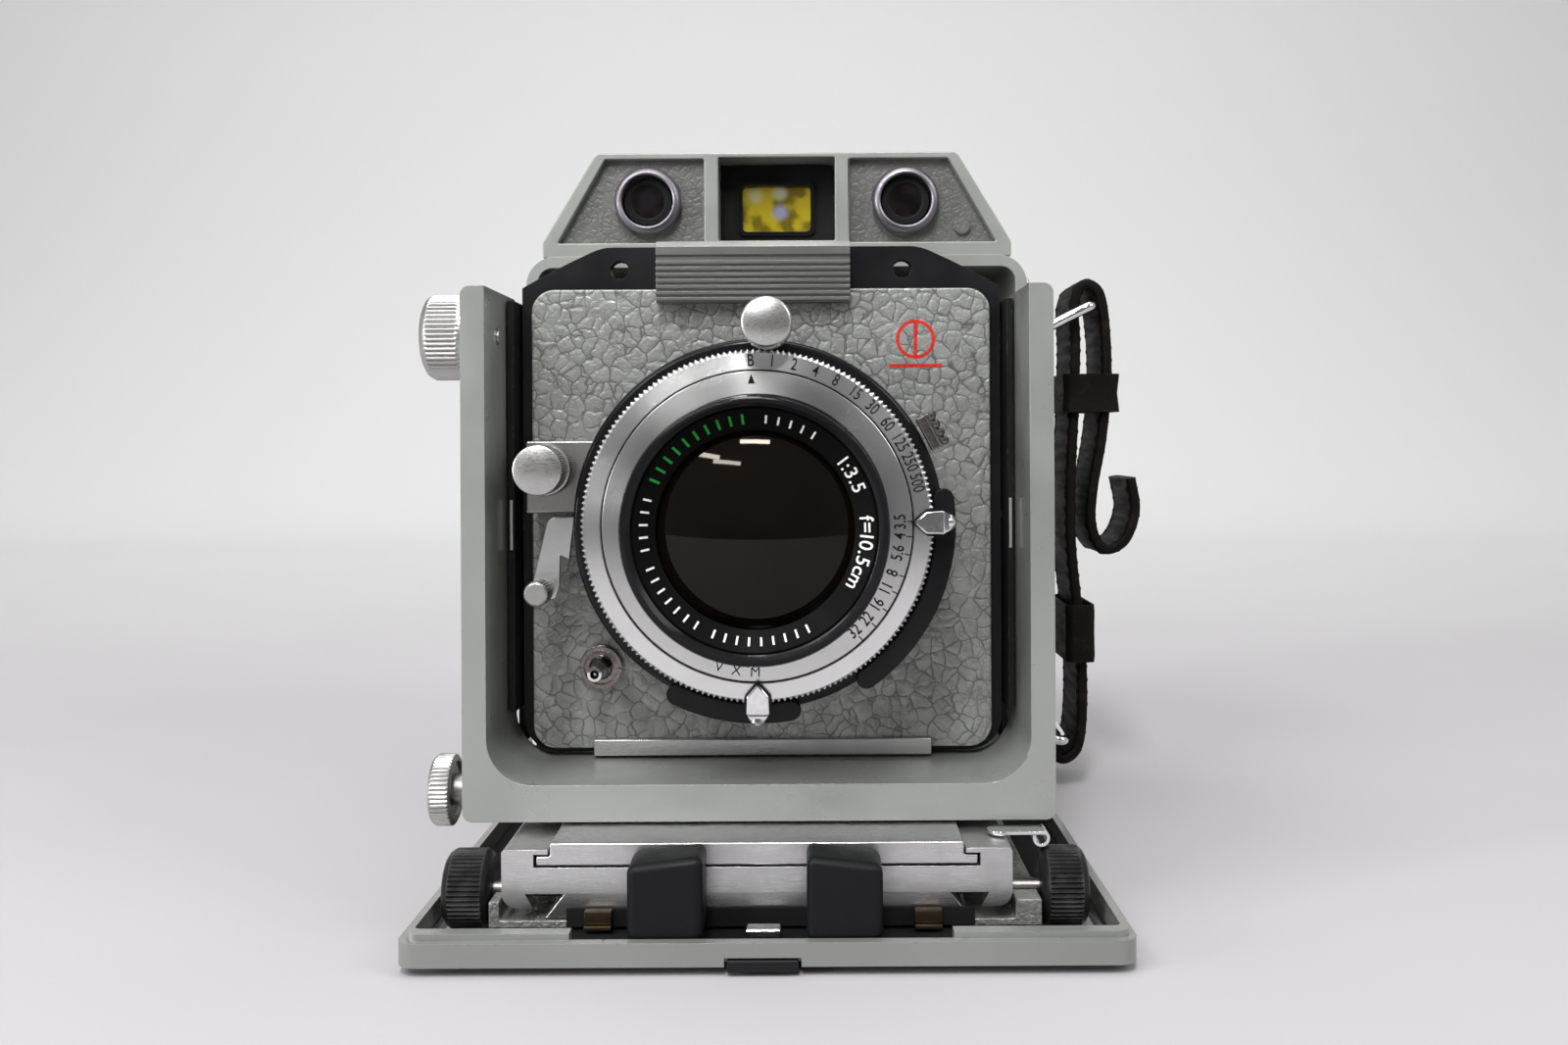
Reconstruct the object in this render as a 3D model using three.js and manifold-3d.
// Folding large format view camera: body with rangefinder, drop bed, rack-and-pinion rail,
// U-shaped front standard with movements, leaf-shutter lens, bellows, revolving back and hand strap.
// Millimetres. +Z is up, the lens looks along -Y, +X is to the right of a person facing the lens.
// The origin is the middle of the camera's bottom face.
import * as THREE from "three";
import { mergeVertices } from "three/addons/utils/BufferGeometryUtils.js";
import Module from "manifold-3d";

const wasm = await Module();
wasm.setup();

// ---------- driving dimensions ----------

const GAP = 0.3; // clearance between neighbouring pieces
const THROUGH = 1; // how far a cutting tool runs past the face it cuts

const BODY_HALF_WIDTH = 51.5;
const BODY_HALF_DEPTH = 31;
const BODY_TOP = 115.2;
const BODY_WALL = 2.4;
const BODY_CORNER = 6;
const BASE_THICK = 1.5;

const FINDER_FRONT = -26;
const FINDER_REAR = 24;
const FINDER_HALF_BASE = 49;
const FINDER_HALF_TOP = 38.2;
const FINDER_TOP = 137.4;
const FINDER_SHOULDER = 118.7;
const FINDER_WINDOW_X = 27;
const FINDER_WINDOW_Z = 127.3;
const FINDER_WINDOW_R = 5.2;

const BACK_Z = 60; // middle of the revolving back
const BACK_SEAT_R = 41;
const BACK_HALF_WIDTH = 46;
const BACK_HALF_HEIGHT = 40;
const FILM_HALF_WIDTH = 41;
const FILM_HALF_HEIGHT = 28;

const BED_HALF_WIDTH = 54;
const BED_FRONT = -118;
const BED_BOTTOM = 1.4;
const BED_LIP = 4.9;
const BED_INNER_LIP = 5.9;
const BED_FLOOR = 2.6;
const HINGE_Y = -33.2;
const HINGE_Z = 3.6;
const HINGE_PIN_R = 1.2;
const KNUCKLE_R = 1.95;
const KNUCKLE_X = 34;
const KNUCKLE_LENGTH = 8;

const GEAR_X = -0.6; // middle of the base casting and of the pinion shaft
const SHAFT_Y = -99;
const SHAFT_Z = 7;
const SHAFT_R = 1.2;
const FOCUS_KNOB_R = 6.2;
const FOCUS_KNOB_LENGTH = 7.2;
const TRACK_BASE_HALF_WIDTH = 42.4;
const TRACK_BASE_FRONT = -105.5;
const TRACK_BASE_REAR = -38;

const STANDARD_X = -1.8; // the rail and the standard sit a little left of the body's middle
const RAIL_HALF_WIDTH = 39;
const RAIL_FRONT = -106.5;
const RAIL_REAR = -45;
const RAIL_TOP = 15.1;
const RAIL_UNDER = 8.4;
const RAIL_LEG_BOTTOM = 6.2;
const SLOT_HALF_WIDTH = 34.1;
const SLOT_MOUTH_HALF_WIDTH = 31.9;

const SHOE_TOP = 16.1;
const YOKE_HALF_WIDTH = 47.5;
const YOKE_INNER_HALF = 43.6;
const YOKE_FRONT = -96;
const YOKE_REAR = -72;
const YOKE_BOTTOM = 16.5;
const YOKE_FLOOR = 22.4;
const YOKE_TOP = 102.4;
const YOKE_INNER_CORNER = 7.4;
const SWING_Y = -84;

const LENS_Z = 63.8;
const BOARD_HALF = 39.9;
const BOARD_FRONT = -76;
const BOARD_THICK = 1.8;
const CARRIER_FRONT = BOARD_FRONT + BOARD_THICK + GAP;
const CARRIER_THICK = 3;
const CARRIER_HALF_WIDTH = 41.9;
const CARRIER_BOTTOM = 22.9;
const CARRIER_TOP = 111.3;

const TILT_Y = -72.4; // the carrier tilts on two short pins level with the lens
const TILT_PIN_R = 1;

const HOUSING_R = 30;
const HOUSING_FRONT = -94;
const RING_R = 28.2;
const RING_FRONT = -98;
const SCALE_R = 24.6;
const BARREL_R = 20.4;
const BARREL_FRONT = -111;
const GLASS_R = 15.2;
const SHUTTER_BORE_R = 14.5;

const STRAP_Y = 0;
const STRAP_HALF_WIDTH = 10;
const STRAP_THICK = 2.4;

// ---------- materials ----------

const paint = new THREE.MeshStandardMaterial({ color: 0xb9bcb5, roughness: 0.45, metalness: 0.1 });
const hammertone = new THREE.MeshStandardMaterial({ color: 0x83847f, roughness: 0.5, metalness: 0.3 });
const aluminium = new THREE.MeshStandardMaterial({ color: 0xc9c9c9, roughness: 0.35, metalness: 0.9 });
const chrome = new THREE.MeshStandardMaterial({ color: 0xd8d8da, roughness: 0.15, metalness: 1 });
const blackPaint = new THREE.MeshStandardMaterial({ color: 0x1b1b1c, roughness: 0.5, metalness: 0.1 });
const blackPlastic = new THREE.MeshStandardMaterial({ color: 0x2b2c2d, roughness: 0.6, metalness: 0 });
const leather = new THREE.MeshStandardMaterial({ color: 0x2e2a26, roughness: 0.7, metalness: 0 });
const cloth = new THREE.MeshStandardMaterial({ color: 0x151515, roughness: 0.9, metalness: 0 });
const glass = new THREE.MeshStandardMaterial({ color: 0x2a2418, roughness: 0.05, metalness: 0 });
const amberGlass = new THREE.MeshStandardMaterial({ color: 0xc9a91c, roughness: 0.1, metalness: 0 });
const frosted = new THREE.MeshStandardMaterial({ color: 0xbfc4c2, roughness: 0.8, metalness: 0 });

// ---------- solids: joining and cutting ----------

function solid(geometry) {
  if (!geometry.isBufferGeometry) return geometry;
  const bare = geometry.clone();
  bare.deleteAttribute("normal");
  bare.deleteAttribute("uv");
  const merged = mergeVertices(bare, 1e-4);
  return new wasm.Manifold(
    new wasm.Mesh({
      numProp: 3,
      vertProperties: merged.attributes.position.array,
      triVerts: new Uint32Array(merged.index.array),
    }),
  );
}

function join(...shapes) {
  return shapes.map(solid).reduce((whole, next) => whole.add(next));
}

function cut(base, ...tools) {
  return tools.map(solid).reduce((left, tool) => left.subtract(tool), solid(base));
}

function surface(shape) {
  if (shape.isBufferGeometry) return shape;
  const mesh = shape.getMesh();
  return new THREE.BufferGeometry()
    .setAttribute("position", new THREE.BufferAttribute(mesh.vertProperties, 3))
    .setIndex(new THREE.BufferAttribute(mesh.triVerts, 1));
}

// ---------- outlines ----------

// A rounded rectangle between two corners; r is one radius, or [bottom, top].
function roundedRect(left, right, low, high, r) {
  const [bottom, top] = Array.isArray(r) ? r : [r, r];
  const outline = new THREE.Shape();
  outline.moveTo(left + bottom, low);
  outline.lineTo(right - bottom, low);
  if (bottom) outline.absarc(right - bottom, low + bottom, bottom, -Math.PI / 2, 0);
  outline.lineTo(right, high - top);
  if (top) outline.absarc(right - top, high - top, top, 0, Math.PI / 2);
  outline.lineTo(left + top, high);
  if (top) outline.absarc(left + top, high - top, top, Math.PI / 2, Math.PI);
  outline.lineTo(left, low + bottom);
  if (bottom) outline.absarc(left + bottom, low + bottom, bottom, Math.PI, 1.5 * Math.PI);
  return outline;
}

function polygon(points) {
  return new THREE.Shape(points.map(([x, y]) => new THREE.Vector2(x, y)));
}

// A toothed or ribbed disc outline, for knurled rims and gears.
function toothed(radius, depth, count) {
  const points = [];
  for (let i = 0; i < count * 2; i++) {
    const angle = (Math.PI * i) / count;
    const r = i % 2 ? radius - depth : radius;
    points.push([r * Math.cos(angle), r * Math.sin(angle)]);
  }
  return polygon(points);
}

// A band of even thickness along a smooth curve through the points.
function band(points, thickness, steps) {
  const curve = new THREE.CatmullRomCurve3(points.map(([x, y]) => new THREE.Vector3(x, y, 0)));
  const left = [];
  const right = [];
  for (let i = 0; i <= steps; i++) {
    const at = curve.getPointAt(i / steps);
    const along = curve.getTangentAt(i / steps);
    left.push([at.x - (along.y * thickness) / 2, at.y + (along.x * thickness) / 2]);
    right.unshift([at.x + (along.y * thickness) / 2, at.y - (along.x * thickness) / 2]);
  }
  return polygon([...left, ...right]);
}

// ---------- extrusions and turned shapes, by axis ----------

function extrude(outline, depth, arcs) {
  return new THREE.ExtrudeGeometry(outline, { depth, bevelEnabled: false, curveSegments: arcs });
}

// The outline is drawn in X and Z.
function alongY(outline, from, to, arcs = 4) {
  return extrude(outline, to - from, arcs).rotateX(Math.PI / 2).translate(0, to, 0);
}

// The outline is drawn in X and Y.
function alongZ(outline, from, to, arcs = 4) {
  return extrude(outline, to - from, arcs).translate(0, 0, from);
}

// The outline is drawn in Y and Z.
function alongX(outline, from, to, arcs = 4) {
  const turn = new THREE.Matrix4().makeBasis(
    new THREE.Vector3(0, 1, 0),
    new THREE.Vector3(0, 0, 1),
    new THREE.Vector3(1, 0, 0),
  );
  return extrude(outline, to - from, arcs).applyMatrix4(turn).translate(from, 0, 0);
}

function block(x0, x1, y0, y1, z0, z1) {
  return new THREE.BoxGeometry(x1 - x0, y1 - y0, z1 - z0).translate(
    (x0 + x1) / 2,
    (y0 + y1) / 2,
    (z0 + z1) / 2,
  );
}

// A profile of [radius, height] points turned about Y; a ring's profile ends where it starts.
function turned(profile, segments = 32) {
  const area = profile.reduce((sum, [r, h], i) => {
    const [nextR, nextH] = profile[(i + 1) % profile.length];
    return sum + r * nextH - nextR * h;
  }, 0);
  const ordered = area > 0 ? profile : [...profile].reverse();
  return new THREE.LatheGeometry(ordered.map(([r, h]) => new THREE.Vector2(r, h)), segments);
}

function discY(radius, from, to, segments = 32) {
  return turned([[0, from], [radius, from], [radius, to], [0, to]], segments);
}

function ringY(inner, outer, from, to, segments = 32) {
  return turned([[inner, from], [outer, from], [outer, to], [inner, to], [inner, from]], segments);
}

function discX(radius, from, to, segments = 16) {
  return discY(radius, from, to, segments).rotateZ(-Math.PI / 2);
}

function discZ(radius, from, to, segments = 20) {
  return discY(radius, from, to, segments).rotateX(Math.PI / 2);
}

// A round bar between two points.
function bar(from, to, radius, sides = 8) {
  const a = new THREE.Vector3(...from);
  const b = new THREE.Vector3(...to);
  const turn = new THREE.Quaternion().setFromUnitVectors(
    new THREE.Vector3(0, 1, 0),
    b.clone().sub(a).normalize(),
  );
  return new THREE.CylinderGeometry(radius, radius, a.distanceTo(b), sides)
    .applyQuaternion(turn)
    .translate((a.x + b.x) / 2, (a.y + b.y) / 2, (a.z + b.z) / 2);
}

// A closed wire frame through the points, with round corners.
function wireFrame(points, radius) {
  const bars = points.map((point, i) => bar(point, points[(i + 1) % points.length], radius));
  const corners = points.map((point) => new THREE.SphereGeometry(radius, 8, 6).translate(...point));
  return join(...bars, ...corners);
}

// ---------- the scene graph ----------

const camera = new THREE.Group();

function add(parent, name, shape, material, position = [0, 0, 0]) {
  const mesh = new THREE.Mesh(surface(shape), material);
  mesh.name = name;
  mesh.position.set(...position);
  parent.add(mesh);
  return mesh;
}

// ---------- camera body ----------

function bodyShell() {
  const outer = alongY(
    roundedRect(-BODY_HALF_WIDTH, BODY_HALF_WIDTH, BASE_THICK + GAP, BODY_TOP, BODY_CORNER),
    -BODY_HALF_DEPTH,
    BODY_HALF_DEPTH,
  );
  const inside = BODY_HALF_WIDTH - BODY_WALL;
  const hollow = alongY(
    roundedRect(-inside, inside, 6, BODY_TOP - BODY_WALL, 3),
    -BODY_HALF_DEPTH - THROUGH,
    BODY_HALF_DEPTH - 3,
  );
  const backSeat = discY(BACK_SEAT_R, 0, 10, 40).translate(0, BODY_HALF_DEPTH - 5, BACK_Z);
  const trackHalf = 29.6;
  const innerTrack = block(
    STANDARD_X - trackHalf, STANDARD_X + trackHalf, -BODY_HALF_DEPTH + 1, 18, 5.5, 8.1,
  );
  const knuckles = [-KNUCKLE_X, KNUCKLE_X].flatMap((x) => {
    const from = x - KNUCKLE_LENGTH / 2 + GAP;
    const to = x + KNUCKLE_LENGTH / 2 - GAP;
    return [
      discX(KNUCKLE_R, from, to).translate(0, HINGE_Y, HINGE_Z),
      block(from, to, HINGE_Y, -BODY_HALF_DEPTH + THROUGH, 2.6, 5),
    ];
  });
  const pinBore = discX(HINGE_PIN_R + 0.15, -60, 60, 16).translate(0, HINGE_Y, HINGE_Z);
  const buttonBore = discX(3.3, -60, -40).translate(0, -22, 100);
  return cut(join(cut(outer, hollow, backSeat, buttonBore), innerTrack, ...knuckles), pinBore);
}

function basePlate() {
  const plate = alongZ(roundedRect(-44, 44, -24, 24, 4), 0, BASE_THICK);
  const socket = discZ(3.2, -THROUGH, BASE_THICK + THROUGH).translate(0, 14, 0);
  return cut(plate, socket);
}

function finderHousing() {
  const base = BODY_TOP + GAP;
  const outline = polygon([
    [-FINDER_HALF_BASE, base],
    [FINDER_HALF_BASE, base],
    [FINDER_HALF_BASE, FINDER_SHOULDER],
    [FINDER_HALF_TOP, FINDER_TOP - 0.8],
    [FINDER_HALF_TOP - 1, FINDER_TOP],
    [-FINDER_HALF_TOP + 1, FINDER_TOP],
    [-FINDER_HALF_TOP, FINDER_TOP - 0.8],
    [-FINDER_HALF_BASE, FINDER_SHOULDER],
  ]);
  const pocket = (side) =>
    alongY(
      polygon([
        [side * 15.2, 118.6],
        [side * 45.9, 118.6],
        [side * 35.9, 136.1],
        [side * 15.2, 136.1],
      ]),
      FINDER_FRONT - THROUGH,
      FINDER_FRONT + 2.4,
    );
  const bore = (side) =>
    discY(FINDER_WINDOW_R + 0.3, FINDER_FRONT, FINDER_FRONT + 14, 32)
      .translate(side * FINDER_WINDOW_X, 0, FINDER_WINDOW_Z);
  const tunnel = block(-12.2, 12.2, FINDER_FRONT - THROUGH, FINDER_REAR + THROUGH, 119, 136.4);
  return cut(
    alongY(outline, FINDER_FRONT, FINDER_REAR), pocket(-1), pocket(1), bore(-1), bore(1), tunnel,
  );
}

function eyepiece() {
  const frame = alongY(roundedRect(-11.9, 11.9, 119.3, 136.1, 1), FINDER_REAR - 3, FINDER_REAR + 1.5);
  const cup = ringY(6, 8, FINDER_REAR + 1, FINDER_REAR + 4, 20).translate(0, 0, 127.5);
  const window = discY(6, FINDER_REAR - 1.5, FINDER_REAR + 3, 20).translate(0, 0, 127.5);
  return cut(join(frame, cup), window);
}

add(camera, "body_shell", bodyShell(), paint);
add(camera, "base_plate", basePlate(), blackPaint);
add(camera, "rangefinder_housing", finderHousing(), paint);
for (const [side, name] of [[-1, "left"], [1, "right"]]) {
  const middle = [side * FINDER_WINDOW_X, 0, FINDER_WINDOW_Z];
  add(
    camera, "window_bezel_" + name,
    ringY(FINDER_WINDOW_R, 7, FINDER_FRONT - 1.2, FINDER_FRONT + 1), aluminium, middle,
  );
  add(
    camera, "window_glass_" + name,
    discY(FINDER_WINDOW_R - 0.2, FINDER_FRONT + 1.3, FINDER_FRONT + 2.8, 32), glass, middle,
  );
}
add(camera, "viewfinder_glass", block(-8, 7.6, -16.8, -15.6, 121.5, 132.3), amberGlass);
add(camera, "eyepiece_frame", eyepiece(), blackPlastic);
add(
  camera, "bed_hinge_pin", discX(HINGE_PIN_R, -45.8, 45.8, 16), chrome, [0, HINGE_Y, HINGE_Z],
);

// The bellows narrow from the body's back wall to the lens carrier.
function bellowsTube() {
  const frontY = -68.9;
  const rearY = 24;
  const section = (half, y) => [
    [-half, y, -half], [half, y, -half], [half, y, half], [-half, y, half],
  ];
  const loft = (frontHalf, rearHalf, from, to) => {
    const points = [...section(frontHalf, from), ...section(rearHalf, to)].flat();
    const faces = [0, 1, 2, 0, 2, 3, 4, 6, 5, 4, 7, 6];
    for (let i = 0; i < 4; i++) {
      const j = (i + 1) % 4;
      faces.push(i, i + 4, j, j, i + 4, j + 4);
    }
    return new THREE.BufferGeometry()
      .setAttribute("position", new THREE.Float32BufferAttribute(points, 3))
      .setIndex(faces);
  };
  const wall = 1.4;
  return cut(loft(34, 43, frontY, rearY), loft(34 - wall, 43 - wall, frontY - 1, rearY + 1));
}
add(camera, "bellows", bellowsTube(), cloth, [STANDARD_X / 2, 0, LENS_Z]);

// Sprung button that unlatches the bed, in the left side wall.
function bedButton() {
  return join(discX(2.9, -53.6, -50, 24), discX(4.2, -48.8, -47.2, 24), discX(2, -50.5, -48, 24));
}
add(camera, "bed_release_button", bedButton(), chrome, [0, -22, 100]);

// ---------- hand strap ----------

const UPPER_EYE = [54.8, 99];
const LOWER_EYE = [54.8, 14];

function strapBracket([eyeX, eyeZ], rodX, rodZ) {
  const wire = 1.1;
  const reach = STRAP_HALF_WIDTH + 2.2;
  const plate = alongX(roundedRect(STRAP_Y - 9, STRAP_Y + 9, eyeZ - 5, eyeZ + 5, 2), 51.8, 53.2);
  const eye = discY(2.2, STRAP_Y - 7, STRAP_Y + 7, 16).translate(eyeX, 0, eyeZ);
  const loop = wireFrame(
    [
      [eyeX, STRAP_Y - reach, eyeZ],
      [rodX, STRAP_Y - reach, rodZ],
      [rodX, STRAP_Y + reach, rodZ],
      [eyeX, STRAP_Y + reach, eyeZ],
    ],
    wire,
  );
  return join(plate, eye, loop);
}

// Seen from the front: round the lower wire, up to the upper wire, over it, down outside, curled tail.
function handStrap() {
  const route = [
    [59.2, 17], [59.2, 10.5], [61.8, 6.4], [65.4, 8.6], [66.6, 16], [66.6, 28], [65.6, 41], [64.4, 54],
    [64.4, 68], [65.2, 84], [65.6, 98], [65.4, 107], [67.4, 111.2], [70.8, 109.4], [72.2, 101],
    [72.4, 89], [71.2, 77], [69.2, 66], [68.9, 58], [71.4, 52.8], [76, 54.4], [78.6, 61], [77.6, 68.4],
  ];
  return alongY(
    band(route, STRAP_THICK, 44), STRAP_Y - STRAP_HALF_WIDTH, STRAP_Y + STRAP_HALF_WIDTH,
  );
}

function strapKeeper(left, right, low, high) {
  const wall = 0.9;
  const reach = STRAP_HALF_WIDTH + 1.6;
  return cut(
    block(left, right, STRAP_Y - reach, STRAP_Y + reach, low, high),
    block(
      left + wall, right - wall, STRAP_Y - reach + wall, STRAP_Y + reach - wall,
      low - THROUGH, high + THROUGH,
    ),
  );
}

add(camera, "strap_bracket_upper", strapBracket(UPPER_EYE, 68.8, 106.4), chrome);
add(camera, "strap_bracket_lower", strapBracket(LOWER_EYE, 62.6, 11), chrome);
add(camera, "hand_strap", handStrap(), leather);
add(camera, "strap_keeper_upper", strapKeeper(62.4, 75.2, 83, 91.4), leather);
add(camera, "strap_keeper_lower", strapKeeper(62.8, 69.4, 28, 40.6), leather);

// ---------- revolving back, ground glass and focusing hood ----------

const BACK_FRONT = BODY_HALF_DEPTH + GAP;
const back = new THREE.Group();
back.position.set(0, BACK_FRONT, BACK_Z);
camera.add(back);

function revolvingFrame() {
  const spigot = discY(BACK_SEAT_R - GAP, -2.6, 1, 40);
  const plate = alongY(
    roundedRect(-BACK_HALF_WIDTH, BACK_HALF_WIDTH, -BACK_HALF_HEIGHT, BACK_HALF_HEIGHT, 8), 0.4, 5,
  );
  const aperture = alongY(
    roundedRect(-FILM_HALF_WIDTH, FILM_HALF_WIDTH, -FILM_HALF_HEIGHT, FILM_HALF_HEIGHT, 2), 1, 6,
  );
  const throat = alongY(roundedRect(-33, 33, -24, 24, 2), -4, 2);
  return cut(join(spigot, plate), aperture, throat);
}

function focusingHood() {
  const wall = 2;
  const halfWidth = FILM_HALF_WIDTH + wall;
  const halfHeight = FILM_HALF_HEIGHT + wall + 2;
  return cut(
    alongY(roundedRect(-halfWidth, halfWidth, -halfHeight, halfHeight, 3), 5.3, 13.3),
    alongY(
      roundedRect(
        -FILM_HALF_WIDTH + 1, FILM_HALF_WIDTH - 1, -FILM_HALF_HEIGHT + 1, FILM_HALF_HEIGHT - 1, 1,
      ),
      5,
      14,
    ),
  );
}

function hoodLid() {
  const halfWidth = FILM_HALF_WIDTH + 2;
  const lidBottom = -FILM_HALF_HEIGHT - 4;
  const lidTop = FILM_HALF_HEIGHT + 3;
  const panel = alongY(roundedRect(-halfWidth, halfWidth, lidBottom, lidTop, 3), 13.6, 15.6);
  const barrel = discX(1.6, -30, 30, 16).translate(0, 15.2, lidTop + 1);
  const tab = block(-7, 7, 15, 17, lidBottom - 1, lidBottom + 5);
  return join(panel, barrel, tab);
}

function backLock() {
  const slide = block(-10, 10, 5.3, 7, -2.6, 2.6);
  const ridges = [-6, -3, 0, 3, 6].map((x) => block(x - 0.6, x + 0.6, 6.8, 8.2, -2.6, 2.6));
  return join(slide, ...ridges);
}

add(back, "revolving_frame", revolvingFrame(), paint);
add(
  back, "ground_glass",
  alongY(
    roundedRect(
      -FILM_HALF_WIDTH + GAP, FILM_HALF_WIDTH - GAP, -FILM_HALF_HEIGHT + GAP, FILM_HALF_HEIGHT - GAP, 2,
    ),
    1.3,
    3,
  ),
  frosted,
);
add(back, "focusing_hood", focusingHood(), blackPaint);
add(back, "hood_lid", hoodLid(), blackPaint);
add(back, "back_lock_upper", backLock(), aluminium, [0, 0, BACK_HALF_HEIGHT - 3.4]);
add(back, "back_lock_lower", backLock(), aluminium, [0, 0, -BACK_HALF_HEIGHT + 3.4]);

// ---------- drop bed ----------

function bedTray() {
  const rear = HINGE_Y;
  const inset = (by, front) =>
    roundedRect(-BED_HALF_WIDTH + by, BED_HALF_WIDTH - by, BED_FRONT + front, rear + 20, 3 - by);
  const slab = alongZ(inset(0, 0), BED_BOTTOM, BED_LIP);
  const innerLip = alongZ(inset(1, 1.4), BED_LIP - 1, BED_INNER_LIP);
  const pocket = alongZ(inset(2, 3.8), BED_FLOOR, 10);
  const beyondHinge = block(-60, 60, rear, rear + 30, -1, 12);
  const gripWell = block(STANDARD_X - 27, STANDARD_X + 29, BED_FRONT + 1.8, -110, BED_FLOOR, 10);
  const overWall = block(STANDARD_X - 27, STANDARD_X + 29, BED_FRONT - 1, -110, BED_LIP, 10);
  const knobWells = [-1, 1].map((side) => {
    const middle = GEAR_X * 0.5 + side * 46.7;
    return block(middle - 4.8, middle + 4.8, SHAFT_Y - 7, SHAFT_Y + 7, -1, 10);
  });
  const footSeat = block(-6.2, 5, BED_FRONT - 1, -95, -1, BED_BOTTOM + 0.5);
  const footNotch = block(-6.2, 5, BED_FRONT - 1, BED_FRONT + 1, -1, BED_BOTTOM + 1.3);
  const barrel = discX(1.95, -46, 46).translate(0, HINGE_Y, HINGE_Z);
  const knuckleGaps = [-KNUCKLE_X, KNUCKLE_X].map((x) =>
    block(x - KNUCKLE_LENGTH / 2, x + KNUCKLE_LENGTH / 2, HINGE_Y - 3.2, HINGE_Y + 6, -1, 10),
  );
  const bore = discX(HINGE_PIN_R + 0.15, -70, 70, 16).translate(0, HINGE_Y, HINGE_Z);
  const tray = cut(join(slab, innerLip), pocket, beyondHinge, gripWell, overWall, ...knobWells);
  return cut(join(cut(tray, footSeat, footNotch), barrel), ...knuckleGaps, bore);
}

function trackBase() {
  const casting = block(
    GEAR_X - TRACK_BASE_HALF_WIDTH, GEAR_X + TRACK_BASE_HALF_WIDTH,
    TRACK_BASE_FRONT, TRACK_BASE_REAR, BED_FLOOR + GAP, 6.9,
  );
  const groove = block(
    STANDARD_X - RAIL_HALF_WIDTH - 0.6, STANDARD_X + RAIL_HALF_WIDTH + 0.6,
    TRACK_BASE_FRONT - 1, TRACK_BASE_REAR + 1, 4, 10,
  );
  const windows = [-25.4, 24.2].map((x) =>
    block(x - 3.6, x + 3.6, TRACK_BASE_FRONT - 1, TRACK_BASE_FRONT + 3.5, 2, 4.8),
  );
  const shaftWay = discX(SHAFT_R + GAP, -60, 60).translate(0, SHAFT_Y, SHAFT_Z);
  return cut(casting, groove, shaftWay, ...windows);
}

const GUIDE_TOP_HALF = 29.6;
const GUIDE_BOTTOM_HALF = 32.6;

function trackGuide() {
  const plate = alongY(
    polygon([
      [STANDARD_X - GUIDE_BOTTOM_HALF, 4.3],
      [STANDARD_X + GUIDE_BOTTOM_HALF, 4.3],
      [STANDARD_X + GUIDE_TOP_HALF, RAIL_UNDER - GAP],
      [STANDARD_X - GUIDE_TOP_HALF, RAIL_UNDER - GAP],
    ]),
    TRACK_BASE_FRONT + 0.3,
    TRACK_BASE_REAR - 1,
  );
  const shaftWay = block(-60, 60, SHAFT_Y - 2, SHAFT_Y + 2, 5, 10);
  const pinionWay = block(-6, 2.4, SHAFT_Y - 3.4, SHAFT_Y + 3.4, 3, 10);
  return cut(plate, shaftWay, pinionWay);
}

const FOOT_HINGE_Y = -97;

function frontFoot() {
  const side = polygon([
    [BED_FRONT - 0.3, 0.7],
    [BED_FRONT + 5, 0],
    [FOOT_HINGE_Y + 0.9, 0],
    [FOOT_HINGE_Y + 0.9, 1.3],
    [BED_FRONT + 0.7, 1.3],
    [BED_FRONT + 0.7, 2.4],
    [BED_FRONT - 0.3, 2.4],
  ]);
  return alongX(side, -5.8, 4.6);
}

function strut(side) {
  const from = new THREE.Vector2(-43, 5);
  const to = new THREE.Vector2(-28.5, 44);
  const along = to.clone().sub(from);
  const angle = along.angle();
  const outline = new THREE.Shape();
  outline.absarc(from.x, from.y, 2.2, angle + Math.PI / 2, angle + 1.5 * Math.PI);
  outline.absarc(to.x, to.y, 2.2, angle - Math.PI / 2, angle + Math.PI / 2);
  const link = side > 0 ? alongX(outline, 47.8, 48.8) : alongX(outline, -48.8, -47.8);
  const stud = side > 0 ? discX(1, 48.6, 51.7, 12) : discX(1, -51.7, -48.6, 12);
  return join(link, stud.translate(0, from.x, from.y));
}

add(camera, "bed_tray", bedTray(), paint);
add(camera, "track_base", trackBase(), hammertone);
add(camera, "track_guide", trackGuide(), aluminium);
add(camera, "front_foot", frontFoot(), blackPaint);
add(camera, "strut_left", strut(-1), chrome);
add(camera, "strut_right", strut(1), chrome);

// ---------- focusing shaft, knobs and rail ----------

function focusShaft() {
  const pinion = extrude(toothed(2.7, 0.7, 9), 6, 1).rotateY(Math.PI / 2).translate(-4.2, 0, 0);
  return join(discX(SHAFT_R, -49, 48.2, 16), pinion);
}

function ribbedKnob(radius, length, count, depth) {
  return extrude(toothed(radius, depth, count), length, 1).rotateY(Math.PI / 2);
}

function focusKnob() {
  const bore = discX(SHAFT_R + 0.05, -1, FOCUS_KNOB_LENGTH + 1, 12);
  return cut(ribbedKnob(FOCUS_KNOB_R, FOCUS_KNOB_LENGTH, 24, 0.45), bore);
}

const shaft = new THREE.Group();
shaft.position.set(GEAR_X, SHAFT_Y, SHAFT_Z);
camera.add(shaft);
add(shaft, "focus_shaft", focusShaft(), chrome);
add(shaft, "focus_knob_left", focusKnob(), blackPlastic, [-42.9 - FOCUS_KNOB_LENGTH, 0, 0]);
add(shaft, "focus_knob_right", focusKnob(), blackPlastic, [42.9, 0, 0]);

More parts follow.
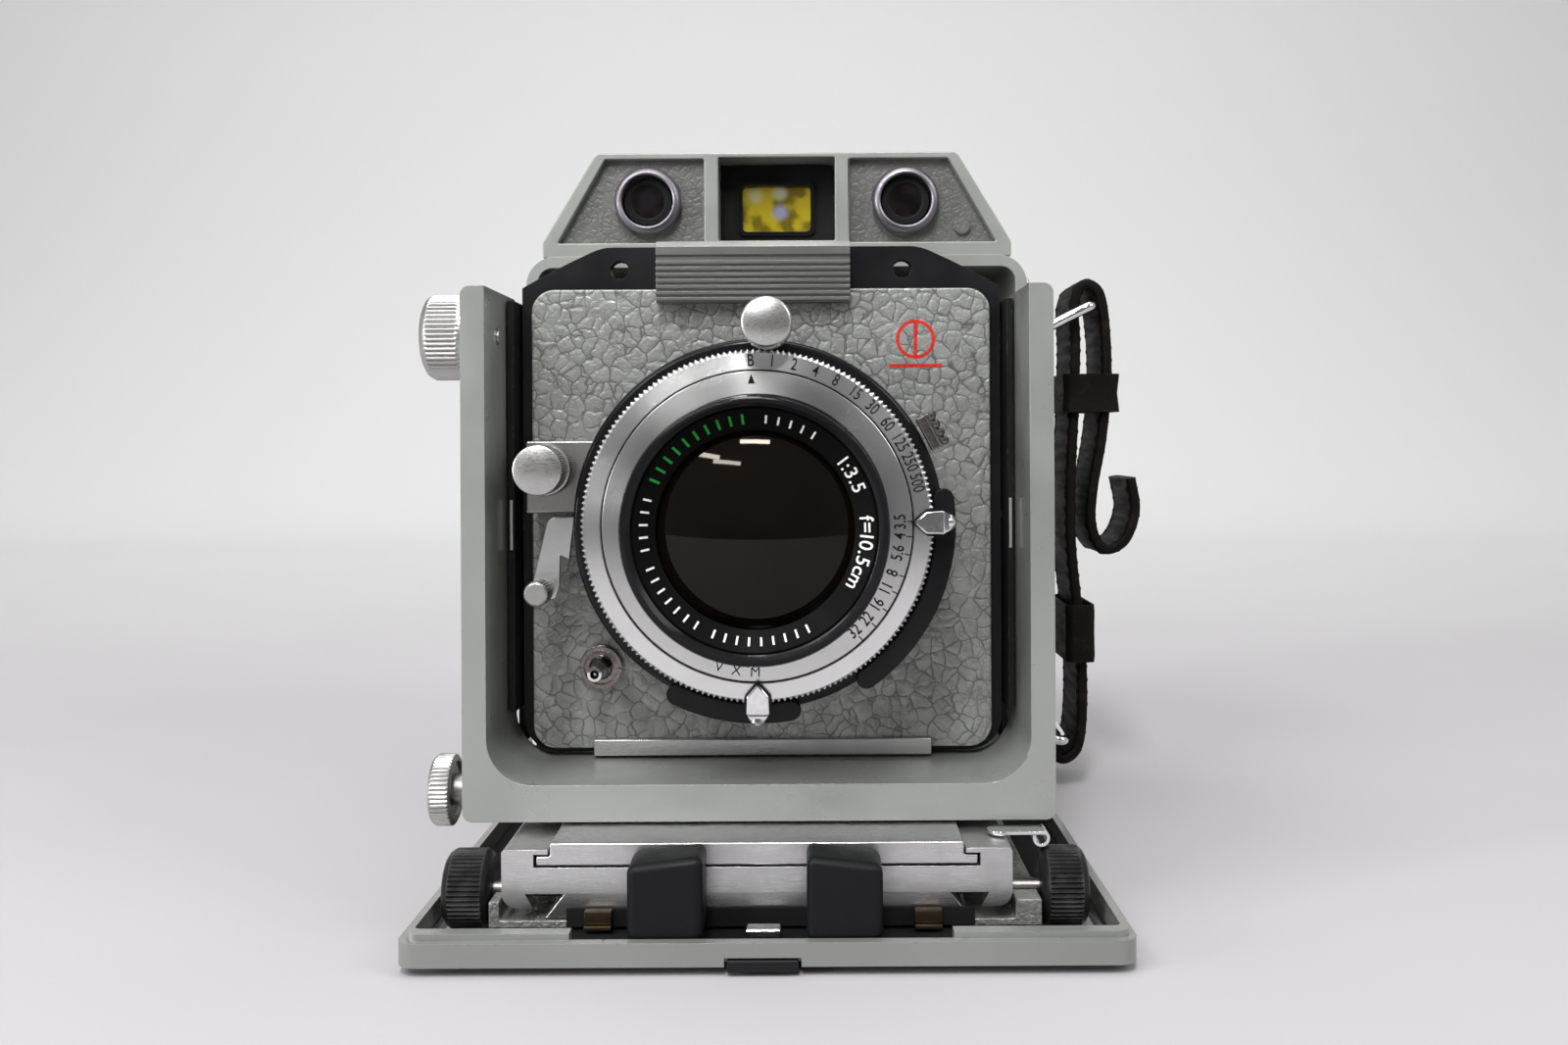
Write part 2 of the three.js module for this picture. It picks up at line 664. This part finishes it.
function focusRail() {
  const half = RAIL_HALF_WIDTH;
  const round = 2.4;
  const body = alongY(roundedRect(-half, half, RAIL_LEG_BOTTOM, RAIL_TOP, [round, 0.6]), RAIL_FRONT, RAIL_REAR);
  const slot = block(
    -SLOT_HALF_WIDTH, SLOT_HALF_WIDTH, RAIL_FRONT - 1, RAIL_REAR + 1, 12.4, 14.4,
  );
  const mouth = block(
    -SLOT_MOUTH_HALF_WIDTH, SLOT_MOUTH_HALF_WIDTH, RAIL_FRONT - 1, RAIL_REAR + 1, 14, 17,
  );
  const under = block(-half - 1, half + 1, RAIL_FRONT + 3, RAIL_REAR + 1, 5, RAIL_UNDER);
  const dovetail = alongY(
    polygon([[-33.6, 5], [33.6, 5], [35.4, RAIL_UNDER], [-35.4, RAIL_UNDER]]),
    RAIL_FRONT - 1,
    RAIL_REAR + 1,
  );
  const rackWay = block(-4, 4, -103, RAIL_REAR + 1, RAIL_UNDER - 1, 11.4);
  const toothPitch = 2;
  const teeth = [];
  for (let y = -102; y < RAIL_REAR - 1; y += toothPitch) {
    teeth.push(block(-3, 3, y, y + toothPitch / 2, 10, 11.6));
  }
  return join(cut(body, slot, mouth, under, dovetail, rackWay), ...teeth);
}

// Sheet-metal finger lever with a curled end, beside the rail above the right-hand knob.
function focusLockLever() {
  const thick = 0.5;
  const curlX = 42.5;
  const curlZ = 14.95;
  const curlR = 1.1;
  const curl = [];
  for (let i = 0; i <= 10; i++) {
    const angle = 0.35 - (i / 10) * 3.9;
    curl.push([curlX + curlR * Math.cos(angle), curlZ + curlR * Math.sin(angle)]);
  }
  const hook = alongY(band([[42.9, 16], [43.3, 15.7], ...curl], thick, 22), -101, -97);
  const strip = block(36.4, 43.2, -101, -97, 15.5, 15.5 + thick);
  const foot = discZ(2.2, 15.4, 16, 16).translate(36.4, -99, 0);
  return join(hook, strip, foot);
}

add(camera, "focus_rail", focusRail(), aluminium, [STANDARD_X, 0, 0]);
add(camera, "focus_lock_lever", focusLockLever(), chrome);

// ---------- front standard ----------

const standard = new THREE.Group();
standard.position.set(STANDARD_X, 0, 0);
camera.add(standard);

function shoePlate() {
  const tongue = block(-33.7, 33.7, RAIL_FRONT, -72, 12.7, 14.1);
  const top = block(-31.6, 31.6, RAIL_FRONT, -72, 13.5, SHOE_TOP);
  return join(tongue, top);
}

function fingerGrip() {
  const half = 5.6;
  const side = polygon([
    [-116, 5.1],
    [-109.6, 5.1],
    [-109.6, 16.4],
    [-110.6, 16.6],
    [-115, 15.9],
    [-116, 15.2],
  ]);
  const arm = block(-3.5, 3.5, -110, -106.9, 8, 13.5);
  return join(alongX(side, -half, half), arm);
}

add(standard, "shoe_plate", shoePlate(), aluminium);
add(standard, "finger_grip_left", fingerGrip(), blackPlastic, [-13.2, 0, 0]);
add(standard, "finger_grip_right", fingerGrip(), blackPlastic, [13.2, 0, 0]);
add(standard, "shift_plate", discZ(8.4, SHOE_TOP + 0.25, 18.2, 24), chrome, [0, SWING_Y, 0]);

function yokeFrame() {
  const corner = 1.6;
  const outer = alongY(
    roundedRect(-YOKE_HALF_WIDTH, YOKE_HALF_WIDTH, YOKE_BOTTOM, YOKE_TOP, corner), YOKE_FRONT, YOKE_REAR,
  );
  const opening = alongY(
    roundedRect(-YOKE_INNER_HALF, YOKE_INNER_HALF, YOKE_FLOOR, YOKE_TOP + 30, [YOKE_INNER_CORNER, 0]),
    YOKE_FRONT - 1,
    YOKE_REAR + 1,
    6,
  );
  const recess = discZ(8.8, YOKE_BOTTOM - 1, 18.6, 24).translate(0, SWING_Y, 0);
  const riseBore = discX(1.4, -60, -40, 16).translate(0, -86, 94.8);
  const lockBore = discX(2.9, -60, -44.5, 16).translate(0, -86, 19.4);
  return cut(outer, opening, recess, riseBore, lockBore);
}

function riseKnob() {
  const dome = turned(
    [[0, 0], [6.2, 0.5], [7.1, 1.6], [7.1, 7.8], [0, 7.8]], 24,
  ).rotateZ(-Math.PI / 2);
  const knurl = ribbedKnob(7.2, 6.2, 24, 0.3).translate(1.6, 0, 0);
  return join(dome, knurl, discX(1.1, 7, 12.4, 12));
}

function lockKnob() {
  return join(ribbedKnob(5.9, 3.6, 24, 0.3), discX(2.6, 3, 8.8, 20));
}

add(standard, "yoke", yokeFrame(), paint);
add(standard, "rise_knob", riseKnob(), aluminium, [-YOKE_HALF_WIDTH - 8.1, -86, 94.8]);
add(standard, "lock_knob", lockKnob(), aluminium, [-YOKE_HALF_WIDTH - 7, -86, 19.4]);

// Two side slides that rise in the arms, joined by a low bridge far enough behind the lens carrier
// for the carrier to tilt.
function riseFrame() {
  const outside = YOKE_INNER_HALF - GAP;
  const inside = CARRIER_HALF_WIDTH + GAP;
  const behindYoke = YOKE_REAR + 0.4;
  const bridgeY = -63.3;
  const cheeks = [-1, 1].flatMap((side) => {
    const left = Math.min(side * outside, side * inside);
    const right = Math.max(side * outside, side * inside);
    return [
      block(left, right, YOKE_REAR - 8, -69.5, 31, 101.5),
      block(left, right, behindYoke, -69.5, 24, 32),
      block(left, right, behindYoke, bridgeY, 24, 28),
    ];
  });
  const bridge = block(-outside, outside, bridgeY - 1.2, bridgeY, 24, 28);
  const tiltBore = discX(TILT_PIN_R + 0.2, -60, 60).translate(0, TILT_Y, LENS_Z);
  return cut(join(...cheeks, bridge), tiltBore);
}

function carrierPlate() {
  const half = CARRIER_HALF_WIDTH;
  const round = 6;
  const outline = new THREE.Shape();
  outline.moveTo(-half + round, CARRIER_BOTTOM);
  outline.lineTo(half - round, CARRIER_BOTTOM);
  outline.absarc(half - round, CARRIER_BOTTOM + round, round, -Math.PI / 2, 0);
  outline.lineTo(half, 104.2);
  outline.quadraticCurveTo(36, 107.6, 30, 110.3);
  outline.quadraticCurveTo(28, CARRIER_TOP, 26, CARRIER_TOP);
  outline.lineTo(-26, CARRIER_TOP);
  outline.quadraticCurveTo(-28, CARRIER_TOP, -30, 110.3);
  outline.quadraticCurveTo(-36, 107.6, -half, 104.2);
  outline.lineTo(-half, CARRIER_BOTTOM + round);
  outline.absarc(-half + round, CARRIER_BOTTOM + round, round, Math.PI, 1.5 * Math.PI);
  const plate = alongY(outline, CARRIER_FRONT, CARRIER_FRONT + CARRIER_THICK);
  const opening = alongY(
    roundedRect(-30, 30, LENS_Z - 30, LENS_Z + 30, 4), CARRIER_FRONT - 1, CARRIER_FRONT + 4,
  );
  const eyelets = [-24.8, 24.8].map((x) =>
    discY(1.6, CARRIER_FRONT - 1, CARRIER_FRONT + 4, 14).translate(x, 0, 107.3),
  );
  const pins = [-1, 1].map((side) => {
    const tip = side * (YOKE_INNER_HALF - GAP);
    const root = side * (half - 1);
    return discX(TILT_PIN_R, Math.min(tip, root), Math.max(tip, root)).translate(0, TILT_Y, LENS_Z);
  });
  return join(cut(plate, opening, ...eyelets), ...pins);
}

function lensBoard() {
  const plate = alongY(
    roundedRect(-BOARD_HALF, BOARD_HALF, LENS_Z - BOARD_HALF, LENS_Z + BOARD_HALF, 4),
    BOARD_FRONT,
    BOARD_FRONT + BOARD_THICK,
    6,
  );
  return cut(plate, discY(16.6, BOARD_FRONT - 1, BOARD_FRONT + 3).translate(0, 0, LENS_Z));
}

function boardLock() {
  const half = 16.7;
  const low = LENS_Z + BOARD_HALF - 2.6;
  const high = CARRIER_TOP + 0.4;
  const boardTop = LENS_Z + BOARD_HALF + 0.4;
  const side = polygon([
    [-78.7, low],
    [BOARD_FRONT - GAP, low],
    [BOARD_FRONT - GAP, boardTop],
    [CARRIER_FRONT - GAP, boardTop],
    [CARRIER_FRONT - GAP, high - 0.6],
    [-75.6, high],
    [-78, high],
    [-79.2, high - 1],
    [-79.2, high - 2.4],
    [-78.7, high - 2.8],
  ]);
  const ribs = [];
  for (let z = low + 0.3; z < high - 3.2; z += 1.05) {
    ribs.push(block(-half, half, -79.2, -78.4, z, z + 0.55));
  }
  return join(alongX(side, -half, half), ...ribs);
}

function retainingStrip() {
  const bottom = CARRIER_BOTTOM;
  const lip = block(-29.2, 29.2, BOARD_FRONT - 1.5, BOARD_FRONT - GAP, bottom, bottom + 2.8);
  const foot = block(-29.2, 29.2, BOARD_FRONT - 1.5, CARRIER_FRONT - GAP, bottom, bottom + 0.7);
  return join(lip, foot);
}

add(standard, "rise_frame", riseFrame(), aluminium);
add(standard, "carrier_plate", carrierPlate(), blackPaint);
add(standard, "lens_board", lensBoard(), hammertone);
add(standard, "board_lock", boardLock(), aluminium, [-1.2, 0, 0]);
add(standard, "retaining_strip", retainingStrip(), aluminium);

// ---------- shutter and lens, about the lens axis ----------

const lens = new THREE.Group();
lens.position.set(0, 0, LENS_Z);
standard.add(lens);

function shutterHousing() {
  const casing = discY(HOUSING_R, HOUSING_FRONT, BOARD_FRONT - GAP, 40);
  const hub = discY(16.2, BOARD_FRONT - 1, -69.9, 32);
  return cut(join(casing, hub), discY(SHUTTER_BORE_R, HOUSING_FRONT - 1, -69, 32));
}

function speedRing() {
  const rearY = HOUSING_FRONT - GAP;
  const innerR = SCALE_R + 0.25;
  return turned(
    [
      [innerR, rearY], [RING_R, rearY], [RING_R, RING_FRONT + 0.8], [RING_R - 0.8, RING_FRONT],
      [innerR, RING_FRONT - 0.3], [innerR, rearY],
    ],
    40,
  );
}

function scaleRing() {
  const rearY = HOUSING_FRONT - GAP;
  return turned(
    [
      [BARREL_R + 0.3, rearY], [SCALE_R, rearY], [SCALE_R, RING_FRONT - 0.3],
      [BARREL_R + 1.2, RING_FRONT - 1.1], [BARREL_R + 0.3, RING_FRONT - 0.6], [BARREL_R + 0.3, rearY],
    ],
    40,
  );
}

function frontBarrel() {
  const rearY = HOUSING_FRONT - GAP;
  return turned(
    [
      [GLASS_R - 2, rearY], [BARREL_R, rearY], [BARREL_R, BARREL_FRONT + 0.6],
      [BARREL_R - 0.6, BARREL_FRONT], [BARREL_R - 1.4, BARREL_FRONT], [BARREL_R - 1.6, BARREL_FRONT + 2],
      [GLASS_R + 0.4, BARREL_FRONT + 4.4], [GLASS_R + 0.4, BARREL_FRONT + 9],
      [GLASS_R - 2, BARREL_FRONT + 9], [GLASS_R - 2, rearY],
    ],
    36,
  );
}

function frontElement() {
  const rim = BARREL_FRONT + 5.6;
  const profile = [[0, rim + 2.6], [GLASS_R, rim + 2.6], [GLASS_R, rim]];
  const domeHeight = 3.2;
  const steps = 5;
  for (let i = 1; i <= steps; i++) {
    const share = 1 - i / steps;
    profile.push([GLASS_R * share, rim - domeHeight * (1 - share * share)]);
  }
  return turned(profile, 28);
}

function rearCell() {
  return turned([[0, -69.5], [15.6, -69.5], [15.6, -60], [14.4, -57], [12, -57], [0, -55]], 28);
}

// A pointer with an arrow head on the ring face and a tab at its outer end.
function pointer() {
  const head = alongY(
    polygon([[24.6, 0], [26.6, -1.6], [31, -1.7], [31, 1.7], [26.6, 1.6]]),
    RING_FRONT - 1.7, RING_FRONT - 0.6,
  );
  const tab = block(29.4, 31.4, RING_FRONT - 2.2, RING_FRONT + 2.4, -1.7, 1.7);
  return join(head, tab);
}

function cockingLever() {
  const arm = block(30.4, 33, -94.6, -93.4, -2.6, 2.6);
  const serrations = [-1.95, -0.65, 0.65, 1.95].map((z) =>
    bar([33, -96, z], [33, -90.6, z], 0.75, 6),
  );
  return join(arm, block(32, 33, -96, -90.6, -2.6, 2.6), ...serrations);
}

add(lens, "shutter_housing", shutterHousing(), blackPaint);
add(lens, "speed_ring", speedRing(), aluminium);
add(lens, "scale_ring", scaleRing(), aluminium);
add(lens, "front_barrel", frontBarrel(), blackPaint);
add(lens, "front_element", frontElement(), glass);
add(lens, "rear_cell", rearCell(), blackPaint);
const degrees = Math.PI / 180;
add(lens, "aperture_lever", surface(pointer()).rotateY(-1 * degrees), chrome);
add(lens, "sync_lever", surface(pointer()).rotateY(90 * degrees), chrome);
add(lens, "cocking_lever", surface(cockingLever()).rotateY(-28 * degrees), chrome);

// Release lever with its small knurled thumb knob, left of the shutter.
const RELEASE_KNOB = [-35.4, -10.8];

function releaseLever() {
  const [knobX, knobZ] = RELEASE_KNOB;
  const plate = alongY(
    polygon([
      [-30.8, 1], [-34.4, 1], [-35.2, 0.2], [knobX - 2.2, knobZ], [knobX, knobZ - 2.2],
      [knobX + 2.2, knobZ + 0.4], [-33, -5.2], [-31.6, -6],
    ]),
    -88, -87,
  );
  const knob = extrude(toothed(2.1, 0.2, 14), 9, 1).rotateX(Math.PI / 2).translate(knobX, -87.5, knobZ);
  return join(plate, knob);
}

function releaseBlock() {
  const casting = block(-39, -27, -86, BOARD_FRONT - GAP, 1.6, 13.6);
  return cut(casting, discY(HOUSING_R + GAP, -100, -70, 40));
}

function thumbKnob(frontY, rearY) {
  const grip = extrude(toothed(4.1, 0.25, 20), 5, 1).rotateX(Math.PI / 2).translate(0, frontY + 5.5, 0);
  const stem = discY(3.6, frontY, rearY, 20);
  return join(grip, stem);
}

// Its stem passes just outside the shutter housing.
function previewKnob() {
  const bossY = -97;
  const boss = discY(3.3, bossY - 1, HOUSING_FRONT - GAP, 20);
  const stem = discY(1.6, bossY, BOARD_FRONT - GAP, 16);
  return join(thumbKnob(-103, bossY), boss, stem);
}

function flashSocket() {
  return join(
    discY(3.75, BOARD_FRONT - 1.6, BOARD_FRONT - GAP, 20),
    turned([[0, -85], [1.1, -85], [1.3, -79], [2.4, -77.4], [0, -77.4]], 14),
  );
}

add(lens, "release_lever", releaseLever(), aluminium);
add(lens, "release_block", releaseBlock(), aluminium);
add(lens, "cable_release_knob", thumbKnob(-97.5, -86.4), aluminium, [-35, 0, 9]);
add(lens, "preview_knob", previewKnob(), aluminium, [1.7, 0, 32]);
add(lens, "flash_socket", flashSocket(), chrome, [-27.9, 0, -25.6]);

export default camera;
